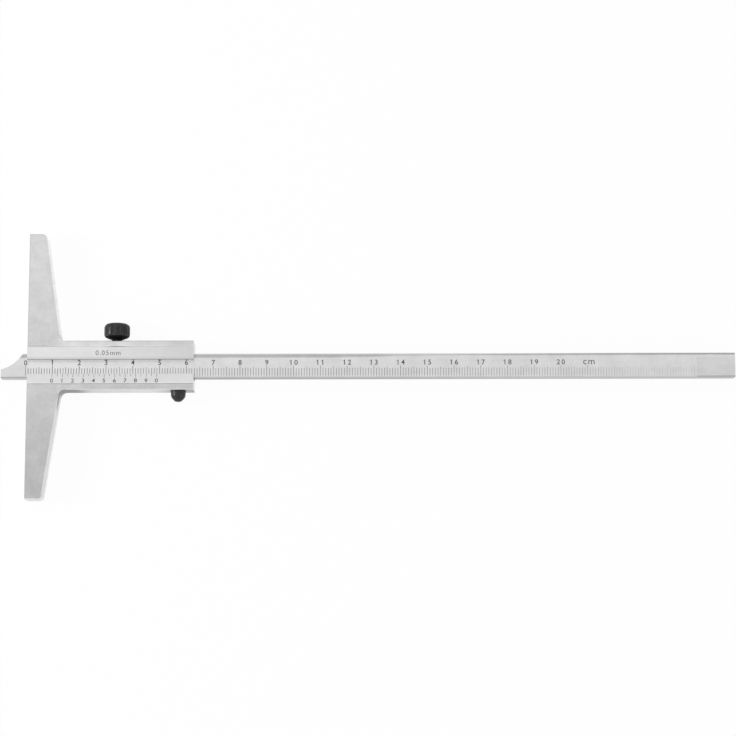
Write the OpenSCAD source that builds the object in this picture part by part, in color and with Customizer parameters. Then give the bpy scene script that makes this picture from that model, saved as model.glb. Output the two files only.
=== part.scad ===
// Vernier depth gauge: a T-shaped bridge with a channelled housing, and a graduated beam that slides through it.
// X runs along the beam and the measuring face lies at X = 0, so the beam's nose points to -X.
// Y runs along the bridge. Z = 0 is the flat back, and the scales face +Z.

/* [Bridge] */
// Length of the measuring face, from arm end to arm end
bridge_span = 100; // [80:1:150]
// Width of an arm at its end
arm_tip_w = 6.2; // [5:0.1:8]
// Width of an arm where it meets the housing
arm_root_w = 12.2; // [9:0.1:18]
// Radius of the rounded outer corner of an arm
arm_corner_r = 1.6; // [0.5:0.1:3]
// Radius of the fillet between an arm and the housing
root_fillet_r = 2.2; // [1:0.1:4]
// Chamfer along the long edges of the measuring face
face_chamfer = 0.25; // [0.15:0.05:0.8]
// Edge break along the other outer edges
edge_break = 0.25; // [0.1:0.05:0.5]

/* [Housing] */
// Length of the housing behind the measuring face
housing_l = 62; // [56:1:90]
// Thickness of the channel's floor
floor_t = 1.6; // [1.3:0.1:3]
// Thickness of the channel's side walls
wall_t = 4.65; // [4.4:0.05:7]

/* [Strips] */
// Thickness of the two strips that close the channel
strip_t = 2.1; // [1.6:0.1:3]
// Height of the strips above the front of the bridge
strip_rise = 0.7; // [0.3:0.1:1.2]
// Width of the ledge in each side wall that a strip lies on
ledge_w = 2.45; // [2.2:0.05:3.4]
// How far the upper strip laps over the beam
guide_lap = 2.5; // [1:0.1:3]
// How far the vernier strip laps over the beam
vernier_lap = 1.4; // [1:0.1:2]
// Thickness of the vernier strip's thin edge
vernier_edge_t = 0.45; // [0.3:0.05:0.8]
// Width of the upper strip's bevel along the window
guide_bevel_w = 0.9; // [0.4:0.1:1.2]
// Depth of the upper strip's bevel along the window
guide_bevel_h = 0.3; // [0.2:0.05:0.8]

/* [Strip screws] */
// Radius of a strip screw's shank
strip_screw_r = 0.8; // [0.5:0.05:1]
// Radius of a strip screw's countersunk head
strip_head_r = 1.5; // [1.2:0.05:1.8]
// Height of a strip screw's countersunk head
strip_head_h = 0.75; // [0.5:0.05:1]
// How far a strip screw reaches into its strip
strip_screw_bite = 0.8; // [0.5:0.05:1]
// Distance of the strip screws from the ends of the housing
strip_screw_inset = 3; // [2.5:0.1:4]

/* [Beam] */
// Length of the beam
beam_l = 274.6; // [200:0.1:400]
// Width of the beam
beam_w = 9.1; // [8:0.1:14]
// Thickness of the beam
beam_t = 5.3; // [4.6:0.1:8]
// Chamfer along the beam's edges
beam_chamfer = 0.4; // [0.1:0.05:0.6]
// How far the nose stands out of the bridge, which is the reading
reading = 10; // [0:0.05:20]
// Width of the nose's end face
nose_face_w = 3.2; // [2:0.1:6]
// Length of the nose's hollow-ground side
nose_l = 8.1; // [5:0.1:15]
// Depth of the hollow in the nose's side
nose_hollow = 1; // [0.4:0.1:2]

/* [Gib] */
// Thickness of the gib strip
gib_t = 0.8; // [0.6:0.05:1.2]
// Free space behind the gib strip
gib_back_gap = 0.3; // [0.1:0.05:0.5]
// Distance of the gib pocket from each end of the housing
gib_pocket_inset = 6; // [5:0.5:8]
// Distance of each gib set screw from its end of the gib pocket
set_screw_inset = 11; // [5:0.5:12]
// Radius of a gib set screw
set_screw_r = 1.25; // [1:0.05:1.5]
// Radius of a gib set screw's dog point
set_point_r = 0.7; // [0.4:0.05:0.8]
// Length of a gib set screw's dog point
set_point_l = 0.4; // [0.2:0.05:0.5]
// How deep a gib set screw sits below the housing's side
set_screw_recess = 0.5; // [0.2:0.05:1]

/* [Lock screw] */
// Distance of the lock screw from the measuring face
lock_x = 33; // [28:0.5:34]
// Height of the lock screw's axis above the back of the gauge
lock_z = 5; // [4.9:0.05:5.1]
// Radius of the lock screw's stem
lock_screw_r = 1.5; // [1:0.05:1.6]
// Length of the thrust pad at the end of the stem
pad_l = 1.4; // [1.1:0.1:2]
// Radius of the spigot that carries the thrust pad
spigot_r = 0.8; // [0.5:0.05:0.9]
// Length of the spigot that carries the thrust pad
spigot_l = 0.6; // [0.4:0.05:0.8]
// Radius of the knob's head
knob_r = 4.7; // [4:0.1:4.8]
// Height of the knob's head
knob_h = 4.7; // [3.5:0.1:8]
// Radius of the knob's collar
knob_collar_r = 2.2; // [2:0.1:3]
// Height of the knob's collar
knob_collar_h = 1.65; // [0.5:0.05:3]
// Rounding of the knob's outer edge
knob_round_r = 1.5; // [0.8:0.1:1.8]
// Rounding of the knob's inner edge
knob_round_low_r = 0.8; // [0.4:0.1:1.5]
// Number of flutes round the knob
knob_flutes = 12; // [8:1:20]
// Radius of a flute
flute_r = 1.1; // [0.6:0.1:1.5]
// Depth of a flute
flute_depth = 0.35; // [0.2:0.05:0.6]
// Gap between the knob's collar and the housing when the beam is locked
knob_gap = 0.3; // [0.2:0.05:0.6]

/* [Thumb button] */
// Distance of the thumb button from the rear end of the housing
button_inset = 5.9; // [5.5:0.1:30]
// Radius of the thumb button
button_r = 2.7; // [2.4:0.1:3.5]
// Height of the thumb button's straight side
button_side_h = 1.2; // [0.8:0.1:3]
// Radius of the flat on the thumb button's end
button_flat_r = 0.7; // [0.3:0.1:1.2]
// Radius of the button's stud
stud_r = 1.25; // [0.8:0.05:1.5]
// Depth of the stud in the housing's wall
stud_depth = 2.4; // [2:0.1:3.6]
// How far the stud reaches into the button
stud_bite = 1.9; // [1.2:0.1:2.2]

/* [Fits] */
// Running gap between the beam and its channel, on each side
slide_gap = 0.05; // [0.03:0.01:0.1]
// Radial running gap of the lock screw and its thrust pad
run_gap = 0.06; // [0.02:0.01:0.1]
// Gap round screws, strips and studs that are fitted for good
fit_gap = 0.05; // [0.02:0.01:0.1]

/* [Hidden] */
$fn = 64;
over = 1;               // how far a cutting shape runs past the face it opens
slot_w_share = 0.3;     // width of a screwdriver slot as a share of its screw's diameter

// Heights
beam_z0 = floor_t + slide_gap;
beam_z1 = beam_z0 + beam_t;
seat_z = beam_z1 + slide_gap;
strip_z1 = seat_z + strip_t;
bridge_t = strip_z1 - strip_rise;

// Widths, measured from the beam's centre line
channel_y = beam_w / 2 + slide_gap;
housing_y = channel_y + wall_t;
ledge_y = channel_y + ledge_w;
guide_edge_y = beam_w / 2 - guide_lap;
vernier_edge_y = beam_w / 2 - vernier_lap;
screw_y = channel_y + ledge_w / 2;
span_y = bridge_span / 2;

// Gib and its pocket
gib_back_y = channel_y + gib_t;
pocket_y = gib_back_y + gib_back_gap;
pocket_x0 = gib_pocket_inset;
pocket_l = housing_l - 2 * gib_pocket_inset;
gib_h = beam_t;
set_screw_x = [pocket_x0 + set_screw_inset, pocket_x0 + pocket_l - set_screw_inset];
strip_screw_x = [strip_screw_inset, housing_l - strip_screw_inset];

// Lock screw
bore_r = lock_screw_r + run_gap;
pad_gap = 0.02;
pad_y0 = gib_back_y + pad_gap;
pad_y1 = pad_y0 + pad_l;
stem_y0 = pad_y1 + pad_gap;
collar_y0 = housing_y + knob_gap;
head_y0 = collar_y0 + knob_collar_h;
stem_bite = knob_h * 0.7;
stem_y1 = head_y0 + stem_bite;

// Slanted edge of an arm
arm_slope = (arm_root_w - arm_tip_w) / (span_y - housing_y);
arm_angle = atan(arm_slope);
function arm_x(y) = arm_tip_w + (span_y - y) * arm_slope;
function unit(a) = [cos(a), sin(a)];

// Centres of an arm's rounded corner and root fillet, and where the fillet meets the slanted edge
round_c = [arm_x(span_y - arm_corner_r) - arm_corner_r / cos(arm_angle), span_y - arm_corner_r];
fillet_c = [arm_x(housing_y + root_fillet_r) + root_fillet_r / cos(arm_angle), housing_y + root_fillet_r];
tangent = fillet_c - root_fillet_r * unit(arm_angle);
corner_steps = 10;

// Thumb button
button_x = housing_l - button_inset;
button_z = bridge_t / 2;
button_h = button_side_h + sqrt(button_r * button_r - button_flat_r * button_flat_r);

// A profile drawn in Y and Z, run along X from x0 for a length l
module along_x(x0, l) {
    translate([x0, 0, 0]) rotate([90, 0, 90]) linear_extrude(l) children();
}

// A shape drawn upwards, laid over so that up becomes +Y
module pointing_up_y() {
    rotate([-90, 0, 0]) children();
}

// The waste at a corner that an arc of radius r about c rounds, between the normals at angles a1 and a2
module corner_waste(c, r, a1, a2) {
    reach = 1.3 * r;
    difference() {
        polygon([c, c + reach * unit(a1), c + reach * (unit(a1) + unit(a2)), c + reach * unit(a2)]);
        translate(c) circle(r);
    }
}

// The upper half of the T seen from the front, with the arm's rounded corner and its root fillet
module arm_plan() {
    corner = [for (i = [0 : corner_steps]) round_c + arm_corner_r * unit(90 + (arm_angle - 90) * i / corner_steps)];
    difference() {
        polygon(concat([[0, 0], [0, span_y]], corner,
                       [tangent, fillet_c, [fillet_c.x, housing_y], [housing_l, housing_y], [housing_l, 0]]));
        translate(fillet_c) circle(root_fillet_r);
    }
}

// The whole T seen from the front
module bridge_plan() {
    arm_plan();
    mirror([0, 1]) arm_plan();
    translate([0, -channel_y]) square([housing_l, 2 * channel_y]);
}

// A block that takes a chamfer of size c off the edge from p to q at height z. The outside lies to the right of
// the way from p to q, and side is 1 on the front and -1 on the back.
module edge_cut(p, q, z, side, c) {
    run = q - p;
    translate([p.x, p.y, z]) rotate([0, 0, atan2(run.y, run.x)]) rotate([90 - side * 45, 0, 0])
        translate([0, -2 * c, -c / sqrt(2)]) cube([norm(run), 4 * c, 3 * c]);
}

// Blocks that break the edges of the T's upper half at height z
module half_edge_cuts(z, side) {
    arm_end = round_c + arm_corner_r * unit(arm_angle);
    along_arm = edge_break * unit(arm_angle + 90);
    edge_cut([0, span_y + over], [0, -over], z, side, face_chamfer);
    edge_cut([round_c.x - edge_break, span_y], [-over, span_y], z, side, edge_break);
    edge_cut(tangent + along_arm, arm_end - along_arm, z, side, edge_break);
    edge_cut([housing_l + over, housing_y], [fillet_c.x + edge_break, housing_y], z, side, edge_break);
    edge_cut([housing_l, -over], [housing_l, housing_y + over], z, side, edge_break);
}

// Hole and countersink for one strip screw, from the back up to height z1
module strip_screw_hole(z1) {
    translate([0, 0, -over]) cylinder(r = strip_screw_r + fit_gap, h = z1 + over);
    translate([0, 0, -over]) cylinder(r = strip_head_r + fit_gap, h = over + fit_gap);
    translate([0, 0, fit_gap])
        cylinder(r1 = strip_head_r + fit_gap, r2 = strip_screw_r + fit_gap, h = strip_head_h);
}

module bridge_frame() {
    color([0.74, 0.74, 0.75]) difference() {
        linear_extrude(bridge_t) bridge_plan();
        for (m = [0, 1]) mirror([0, m, 0]) {
            half_edge_cuts(0, -1);
            half_edge_cuts(bridge_t, 1);
        }
        // seat of the two strips
        translate([-over, -ledge_y, seat_z]) cube([housing_l + 2 * over, 2 * ledge_y, bridge_t]);
        // channel of the beam
        translate([-over, -channel_y, floor_t])
            cube([housing_l + 2 * over, 2 * channel_y, seat_z - floor_t + over]);
        // pocket of the gib strip
        translate([pocket_x0, 0, floor_t]) cube([pocket_l, pocket_y, seat_z - floor_t + over]);
        // bores of the lock screw and of the gib set screws
        translate([lock_x, 0, lock_z]) pointing_up_y() cylinder(r = bore_r, h = housing_y + over);
        for (x = set_screw_x) translate([x, 0, lock_z]) pointing_up_y()
            cylinder(r = set_screw_r + fit_gap, h = housing_y + over);
        // holes of the strip screws
        for (x = strip_screw_x) for (s = [-1, 1])
            translate([x, s * screw_y, 0]) strip_screw_hole(seat_z + over);
        // blind hole of the thumb button's stud
        translate([button_x, -housing_y + stud_depth + fit_gap, button_z]) rotate([90, 0, 0])
            cylinder(r = stud_r + fit_gap, h = stud_depth + fit_gap + over);
    }
}

// The raised strip above the window
module upper_guide_strip() {
    y1 = ledge_y - fit_gap;
    color([0.82, 0.82, 0.83]) difference() {
        along_x(0, housing_l) polygon([
            [guide_edge_y, seat_z], [y1, seat_z], [y1, strip_z1 - edge_break], [y1 - edge_break, strip_z1],
            [guide_edge_y + guide_bevel_w, strip_z1], [guide_edge_y, strip_z1 - guide_bevel_h]]);
        for (x = strip_screw_x) translate([x, screw_y, seat_z - over])
            cylinder(r = strip_screw_r + fit_gap, h = strip_screw_bite + fit_gap + over);
    }
}

// The raised strip below the window, bevelled down to the beam
module vernier_strip() {
    y1 = ledge_y - fit_gap;
    color([0.84, 0.84, 0.85]) difference() {
        along_x(0, housing_l) polygon([
            [-vernier_edge_y, seat_z], [-vernier_edge_y, seat_z + vernier_edge_t], [-y1, strip_z1], [-y1, seat_z]]);
        for (x = strip_screw_x) translate([x, -screw_y, seat_z - over])
            cylinder(r = strip_screw_r + fit_gap, h = strip_screw_bite + fit_gap + over);
    }
}

// One slotted countersunk screw, from the back into a strip
module strip_screw() {
    shank_z = fit_gap + strip_head_h;
    difference() {
        union() {
            translate([0, 0, fit_gap]) cylinder(r1 = strip_head_r, r2 = strip_screw_r, h = strip_head_h);
            translate([0, 0, shank_z]) cylinder(r = strip_screw_r, h = seat_z + strip_screw_bite - shank_z);
        }
        slot_w = 2 * strip_screw_r * slot_w_share;
        translate([-strip_head_r - over, -slot_w / 2, -over])
            cube([2 * (strip_head_r + over), slot_w, over + fit_gap + strip_head_h / 2]);
    }
}

module guide_strip_screws() {
    color([0.6, 0.6, 0.62]) for (x = strip_screw_x) translate([x, screw_y, 0]) strip_screw();
}

module vernier_strip_screws() {
    color([0.6, 0.6, 0.62]) for (x = strip_screw_x) translate([x, -screw_y, 0]) strip_screw();
}

// The beam seen from the front, with its hollow-ground nose; the tip is at x = 0
module beam_plan() {
    tip = [0, nose_face_w - beam_w / 2];
    shoulder = [nose_l, beam_w / 2];
    chord = shoulder - tip;
    half = norm(chord) / 2;
    arc_r = (half * half + nose_hollow * nose_hollow) / (2 * nose_hollow);
    away = [-chord.y, chord.x] / norm(chord);
    difference() {
        translate([0, -beam_w / 2]) square([beam_l, beam_w]);
        translate((tip + shoulder) / 2 + away * (arc_r - nose_hollow)) circle(arc_r, $fn = 128);
    }
}

// The beam's section, with its edges broken
module beam_section() {
    y = beam_w / 2;
    c = beam_chamfer;
    polygon([[-y + c, 0], [y - c, 0], [y, c], [y, beam_t - c], [y - c, beam_t], [-y + c, beam_t],
             [-y, beam_t - c], [-y, c]]);
}

module beam() {
    color([0.78, 0.78, 0.79]) translate([-reading, 0, beam_z0]) intersection() {
        linear_extrude(beam_t) beam_plan();
        along_x(0, beam_l) beam_section();
    }
}

// The strip that takes up the play at the beam's upper edge
module gib_strip() {
    color([0.78, 0.66, 0.34]) difference() {
        translate([pocket_x0 + fit_gap, channel_y, floor_t + slide_gap])
            cube([pocket_l - 2 * fit_gap, gib_t, gib_h]);
        for (x = set_screw_x) translate([x, gib_back_y - set_point_l - fit_gap, lock_z]) pointing_up_y()
            cylinder(r = set_point_r + fit_gap, h = set_point_l + fit_gap + over);
    }
}

// One slotted grub screw whose dog point holds the gib strip
module set_screw() {
    y0 = gib_back_y + fit_gap;
    y1 = housing_y - set_screw_recess;
    slot_w = 2 * set_screw_r * slot_w_share;
    difference() {
        union() {
            translate([0, y0, 0]) pointing_up_y() cylinder(r = set_screw_r, h = y1 - y0);
            translate([0, y0 - set_point_l, 0]) pointing_up_y() cylinder(r = set_point_r, h = set_point_l + over / 2);
        }
        translate([-set_screw_r - over, y1 - slot_w, -slot_w / 2])
            cube([2 * (set_screw_r + over), slot_w + over, slot_w]);
    }
}

module gib_set_screws() {
    color([0.5, 0.5, 0.52]) for (x = set_screw_x) translate([x, 0, lock_z]) set_screw();
}

// Half the section of the knob: collar, head and its rounded edges
module knob_section() {
    low_y = knob_collar_h + knob_round_low_r;
    high_y = knob_collar_h + knob_h - knob_round_r;
    square([knob_collar_r, knob_collar_h + knob_h / 2]);
    difference() {
        translate([0, knob_collar_h]) square([knob_r, knob_h]);
        corner_waste([knob_r - knob_round_r, high_y], knob_round_r, 0, 90);
        corner_waste([knob_r - knob_round_low_r, low_y], knob_round_low_r, -90, 0);
    }
}

module lock_knob() {
    color([0.08, 0.08, 0.08]) translate([lock_x, collar_y0, lock_z]) pointing_up_y() difference() {
        rotate_extrude() knob_section();
        for (i = [0 : knob_flutes - 1]) rotate([0, 0, (i + 0.5) * 360 / knob_flutes])
            translate([knob_r + flute_r - flute_depth, 0, knob_collar_h - over])
                cylinder(r = flute_r, h = knob_h + 2 * over, $fn = 32);
        translate([0, 0, -over])
            cylinder(r = lock_screw_r + fit_gap, h = over + stem_y1 - collar_y0 + fit_gap);
    }
}

// The steel stem that the knob is fixed on, with the spigot of the thrust pad
module lock_screw() {
    color([0.55, 0.55, 0.57]) translate([lock_x, 0, lock_z]) {
        translate([0, stem_y0, 0]) pointing_up_y() cylinder(r = lock_screw_r, h = stem_y1 - stem_y0);
        translate([0, stem_y0 - spigot_l, 0]) pointing_up_y() cylinder(r = spigot_r, h = spigot_l + over / 2);
    }
}

// The pad that presses on the gib strip and doesn't turn with the screw
module lock_thrust_pad() {
    color([0.78, 0.62, 0.3]) translate([lock_x, pad_y0, lock_z]) pointing_up_y() difference() {
        cylinder(r = lock_screw_r, h = pad_l);
        translate([0, 0, pad_l - spigot_l])
            cylinder(r = spigot_r + run_gap, h = spigot_l + over);
    }
}

// The black domed button under the rear end of the housing
module thumb_button() {
    color([0.07, 0.07, 0.07]) translate([button_x, -housing_y, button_z]) rotate([90, 0, 0]) difference() {
        rotate_extrude() intersection() {
            square([button_r, button_h]);
            union() {
                square([button_r, button_side_h]);
                translate([0, button_side_h]) circle(button_r);
            }
        }
        translate([0, 0, -over]) cylinder(r = stud_r + fit_gap, h = over + stud_bite + fit_gap);
    }
}

module thumb_button_stud() {
    color([0.55, 0.55, 0.57]) translate([button_x, -housing_y + stud_depth, button_z]) rotate([90, 0, 0])
        cylinder(r = stud_r, h = stud_depth + stud_bite);
}

bridge_frame();
upper_guide_strip();
vernier_strip();
guide_strip_screws();
vernier_strip_screws();
beam();
gib_strip();
gib_set_screws();
lock_knob();
lock_screw();
lock_thrust_pad();
thumb_button();
thumb_button_stud();
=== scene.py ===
"""Dresses a vernier depth gauge: its cut scales and numbers, its steel, bronze and plastic, the fluted lock knob on its
threaded stem, the domed thumb button, and the white studio that it lies in."""

import logging
import math
from abc import ABC, abstractmethod
from collections.abc import Callable, Iterator, Mapping, Sequence
from contextlib import contextmanager
from dataclasses import dataclass
from enum import Enum

import bpy
from mathutils import Matrix, Vector


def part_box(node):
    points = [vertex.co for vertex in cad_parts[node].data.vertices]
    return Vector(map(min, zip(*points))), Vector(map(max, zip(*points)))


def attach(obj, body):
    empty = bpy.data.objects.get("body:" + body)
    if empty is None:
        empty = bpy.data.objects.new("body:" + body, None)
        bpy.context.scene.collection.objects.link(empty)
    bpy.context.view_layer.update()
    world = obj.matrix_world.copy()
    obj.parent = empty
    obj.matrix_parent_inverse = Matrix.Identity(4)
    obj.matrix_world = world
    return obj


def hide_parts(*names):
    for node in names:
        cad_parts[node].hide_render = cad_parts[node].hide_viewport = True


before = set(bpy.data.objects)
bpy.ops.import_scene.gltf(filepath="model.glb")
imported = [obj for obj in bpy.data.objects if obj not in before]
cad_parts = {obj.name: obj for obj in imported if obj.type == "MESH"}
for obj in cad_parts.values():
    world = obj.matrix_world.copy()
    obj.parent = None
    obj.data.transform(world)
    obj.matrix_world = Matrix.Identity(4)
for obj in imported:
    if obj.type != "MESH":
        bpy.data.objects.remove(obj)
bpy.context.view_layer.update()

MM = 0.001
CLOSE = 0.01  # millimetres within which two places count as one
WELD = 0.0001  # millimetres within which two points are made one
UPRIGHT = 0.9  # the part of a direction along Z, above which it counts as upright
log = logging.getLogger("depth_gauge")

Span = tuple[float, float]
Rule = Callable[[Vector, Vector], bool]


# --- Shader arithmetic -----------------------------------------------------------------------------------------------


class Tap:
    """One value inside a finish, which ordinary arithmetic can be done on."""

    def __init__(self, recipe: "Recipe", socket: bpy.types.NodeSocket) -> None:
        """Keeps the socket.

        Args:
            recipe: The finish that the socket belongs to.
            socket: The output that carries the value.
        """
        self.recipe = recipe
        self.socket = socket

    def _math(self, operation: str, *terms: "Tap | float") -> "Tap":
        """Adds one Math node.

        Args:
            operation: Blender's name of the operation.
            terms: Its inputs, in order.

        Returns:
            The node's result.
        """
        return self.recipe.node("ShaderNodeMath", {"operation": operation}, dict(enumerate(terms)))

    def __add__(self, other: "Tap | float") -> "Tap":
        """The sum."""
        return self._math("ADD", self, other)

    def __sub__(self, other: "Tap | float") -> "Tap":
        """The difference."""
        return self._math("SUBTRACT", self, other)

    def __rsub__(self, other: "Tap | float") -> "Tap":
        """The difference, with this value taken away."""
        return self._math("SUBTRACT", other, self)

    def __mul__(self, other: "Tap | float") -> "Tap":
        """The product."""
        return self._math("MULTIPLY", self, other)

    def __pow__(self, other: "Tap | float") -> "Tap":
        """The power."""
        return self._math("POWER", self, other)

    def __gt__(self, other: "Tap | float") -> "Tap":
        """1 where this value is the greater, else 0."""
        return self._math("GREATER_THAN", self, other)

    def __lt__(self, other: "Tap | float") -> "Tap":
        """1 where this value is the smaller, else 0."""
        return self._math("LESS_THAN", self, other)

    def __abs__(self) -> "Tap":
        """The size without its sign."""
        return self._math("ABSOLUTE", self)

    def sine(self) -> "Tap":
        """The sine, of an angle in radians."""
        return self._math("SINE", self)

    __radd__ = __add__
    __rmul__ = __mul__

    def within(self, low: float, high: float) -> "Tap":
        """1 between two bounds, else 0."""
        return (self > low) * (self < high)

    def swing(self, share: float) -> "Tap":
        """Noise about 0.5, made to swing about 0."""
        return (self - 0.5) * share

    def ramp(self, low: float, high: "Tap | float") -> "Tap":
        """A smooth step.

        Args:
            low: Where it leaves 0.
            high: Where it reaches 1.

        Returns:
            The step's height.
        """
        settings = {"interpolation_type": "SMOOTHSTEP"}
        return self.recipe.node("ShaderNodeMapRange", settings, {0: self, 1: low, 2: high, 3: 0.0, 4: 1.0})


class Recipe:
    """The node tree of one finish."""

    def __init__(self, owner: bpy.types.Material | bpy.types.World) -> None:
        """Empties a node tree.

        Args:
            owner: The material or world whose tree it is.
        """
        owner.use_nodes = True
        self.owner = owner
        self.tree = owner.node_tree
        self.tree.nodes.clear()

    @classmethod
    def for_material(cls, name: str) -> "Recipe":
        """Starts a new material."""
        return cls(bpy.data.materials.new(name))

    def node(
        self,
        kind: str,
        settings: Mapping[str, object] | None = None,
        sockets: Mapping[int | str, object] | None = None,
        out: int | str = 0,
    ) -> Tap:
        """Adds any node.

        Args:
            kind: Blender's name of the node's type.
            settings: Its properties, which are set first.
            sockets: A number, a colour or another node's value for each input.
            out: Which output is wanted.

        Returns:
            That output.
        """
        made = self.tree.nodes.new(kind)
        for name, value in (settings or {}).items():
            setattr(made, name, value)
        for key, value in (sockets or {}).items():
            if isinstance(value, Tap):
                self.tree.links.new(value.socket, made.inputs[key])
            else:
                made.inputs[key].default_value = value
        return Tap(self, made.outputs[out])

    def place(self) -> Tap:
        """The point in the gauge's own frame, in metres."""
        return self.node("ShaderNodeTexCoord", out="Object")

    def parts(self, vector: Tap) -> tuple[Tap, Tap, Tap]:
        """The three parts of a vector."""
        return tuple(self.node("ShaderNodeSeparateXYZ", {}, {0: vector}, out) for out in range(3))

    def facing(self) -> tuple[Tap, Tap, Tap]:
        """The three parts of the surface's own direction."""
        return self.parts(self.node("ShaderNodeTexCoord", out="Normal"))

    def place_mm(self) -> tuple[Tap, Tap, Tap]:
        """The three parts of the point in the gauge's frame, in millimetres."""
        return tuple(part * (1 / MM) for part in self.parts(self.place()))

    def noise(self, size_mm: float | Sequence[float], detail: float = 2.0, shift: float = 0.0) -> Tap:
        """Soft noise about 0.5.

        Args:
            size_mm: The length of its features, or its lengths along X, Y and Z.
            detail: How much finer noise is added.
            shift: Moves it, so that two layers differ.

        Returns:
            Its height.
        """
        sizes = size_mm if isinstance(size_mm, Sequence) else (size_mm,) * 3
        scale = tuple(1 / (size * MM) for size in sizes)
        mapped = self.node("ShaderNodeMapping", {}, {"Vector": self.place(), "Location": (shift,) * 3, "Scale": scale})
        return self.node("ShaderNodeTexNoise", {}, {"Vector": mapped, "Scale": 1.0, "Detail": detail})

    def grey(self, tone: Tap, tint: Sequence[float] = (1.0, 1.0, 1.0)) -> Tap:
        """A colour from its lightness.

        Args:
            tone: The lightness, linear.
            tint: What red, green and blue are multiplied by.

        Returns:
            The colour.
        """
        return self.node("ShaderNodeCombineColor", {}, {i: tone * share for i, share in enumerate(tint)})

    def bump(self, height: Tap, depth_mm: float) -> Tap:
        """A disturbed normal.

        Args:
            height: The relief, from 0 to 1.
            depth_mm: How deep 1 is.

        Returns:
            The normal.
        """
        return self.node("ShaderNodeBump", {}, {"Height": height, "Distance": depth_mm * MM, "Strength": 1.0})

    def finish(self, **sockets: object) -> bpy.types.Material:
        """Closes the finish with a Principled shader.

        Args:
            sockets: The shader's inputs, with underscores for the spaces in their names.

        Returns:
            The material.
        """
        named = {name.replace("_", " "): value for name, value in sockets.items()}
        return self.show(self.node("ShaderNodeBsdfPrincipled", {}, named))

    def show(self, shader: Tap) -> bpy.types.Material | bpy.types.World:
        """Ends the tree with a shader.

        Args:
            shader: What is shown.

        Returns:
            The finished material or world.
        """
        kind = "World" if isinstance(self.owner, bpy.types.World) else "Material"
        end = self.tree.nodes.new(f"ShaderNodeOutput{kind}")
        self.tree.links.new(shader.socket, end.inputs["Surface"])
        return self.owner


# --- Finishes --------------------------------------------------------------------------------------------------------

FLAT = 0.85  # the upright part of a direction, above which a surface lies flat
SQUARE = 0.5  # the part of a direction along an axis, above which a surface looks that way
LEAN = 0.3  # the same, above which it leans that way


class Lay(Enum):
    """The way in which the grinding marks run."""

    ALONG_BEAM = 0
    ALONG_BRIDGE = 1

    def streak(self, long_mm: float, fine_mm: float) -> tuple[float, ...]:
        """The size of a grinding mark along X, Y and Z."""
        return tuple(long_mm if axis == self.value else fine_mm for axis in range(3))


@dataclass(frozen=True)
class Spot:
    """A place on the steel, in millimetres, and how its surface lies there: flat, as a wall or as a chamfer."""

    x: Tap
    y: Tap
    z: Tap
    face_x: Tap
    face_y: Tap
    flat: Tap
    wall: Tap
    chamfer: Tap
    away: Tap
    cloud: Tap

    @classmethod
    def of(cls, r: Recipe, cloud: Tap) -> "Spot":
        """Reads the place, and the surface's own direction.

        Args:
            r: The finish in making.
            cloud: Soft noise that breaks up the edges of painted shade and other marks.

        Returns:
            The place. Its away is for chamfers that look to the knob's side or to the nose.
        """
        face_x, face_y, face_z = r.facing()
        flat, wall = abs(face_z) > FLAT, abs(face_z) < LEAN
        away = (face_y > LEAN) + (face_x < -LEAN)
        return cls(*r.place_mm(), face_x, face_y, flat, wall, 1 - flat - wall, away, cloud)

    def distance(self, centre: Span, squash: float = 1.0) -> Tap:
        """How far the place is from a centre, seen from the front.

        Args:
            centre: The centre's X and Y.
            squash: What a distance along Y is multiplied by.

        Returns:
            The distance.
        """
        across, along = self.x - centre[0], (self.y - centre[1]) * squash
        return (across * across + along * along) ** 0.5


@dataclass(frozen=True)
class SatinSteel(ABC):
    """Ground steel with a satin finish. Tones are linear greys, and lengths are in millimetres."""

    name: str
    lay: Lay
    flat_tone: float
    wall_tone: float
    chamfer_tone: float
    chamfer_away_tone: float
    roughness: float = 0.36
    streak_share: float = 0.07
    mottle_share: float = 0.16
    coarse_mark: Span = (14.0, 0.5)
    fine_mark: Span = (5.0, 0.09)
    fine_share: float = 0.8
    cloud_size: float = 7.0
    blotch_size: float = 1.6
    blotch_share: float = 0.7
    dull_cloud: Span = (0.62, 0.85)
    dull_loss: float = 0.05
    streak_roughness: float = 0.10
    cloud_roughness: float = 0.12
    worn_roughness: float = 0.1
    groove_depth: float = 0.0012
    fine_groove_share: float = 0.6

    def material(self) -> bpy.types.Material:
        """Makes the finish: grinding marks, cloudy patches, and other tones on walls and chamfers, as painted light and
        shade.

        Returns:
            The material.
        """
        r = Recipe.for_material(self.name)
        coarse = r.noise(self.lay.streak(*self.coarse_mark), detail=3.0)
        fine = r.noise(self.lay.streak(*self.fine_mark), shift=3.0)
        cloud = r.noise(self.cloud_size, detail=4.0, shift=7.0)
        blotch = r.noise(self.blotch_size, detail=3.0, shift=11.0)
        at = Spot.of(r, cloud)
        marks = coarse.swing(self.streak_share) + fine.swing(self.streak_share * self.fine_share)
        patches = cloud.swing(self.mottle_share) + blotch.swing(self.mottle_share * self.blotch_share)
        # Wall and chamfer tones are painted reflection and shade; chamfers looking to the knob or nose are painted
        # darker.
        chamfer = self.chamfer_tone + at.away * (self.chamfer_away_tone - self.chamfer_tone)
        tone = at.flat * self.flat_tone + at.wall * self.wall_tone + at.chamfer * chamfer
        kept = self.kept(at) * (1 - cloud.ramp(*self.dull_cloud) * self.dull_loss)
        uneven = coarse.swing(self.streak_roughness) + cloud.swing(self.cloud_roughness)
        return r.finish(
            Base_Color=r.grey(tone * (1 + marks + patches) * kept),
            Metallic=1.0,
            Roughness=self.roughness + uneven + (1 - kept) * self.worn_roughness,
            Normal=r.bump(fine * self.fine_groove_share + coarse * (1 - self.fine_groove_share), self.groove_depth),
        )

    @abstractmethod
    def kept(self, at: Spot) -> Tap:
        """How bright painted shade, painted light, wear and other marks leave a place.

        Args:
            at: The place.

        Returns:
            The share of the steel's own light, which is above 1 where light is painted on or rubbing marks are
            brighter.
        """


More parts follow.
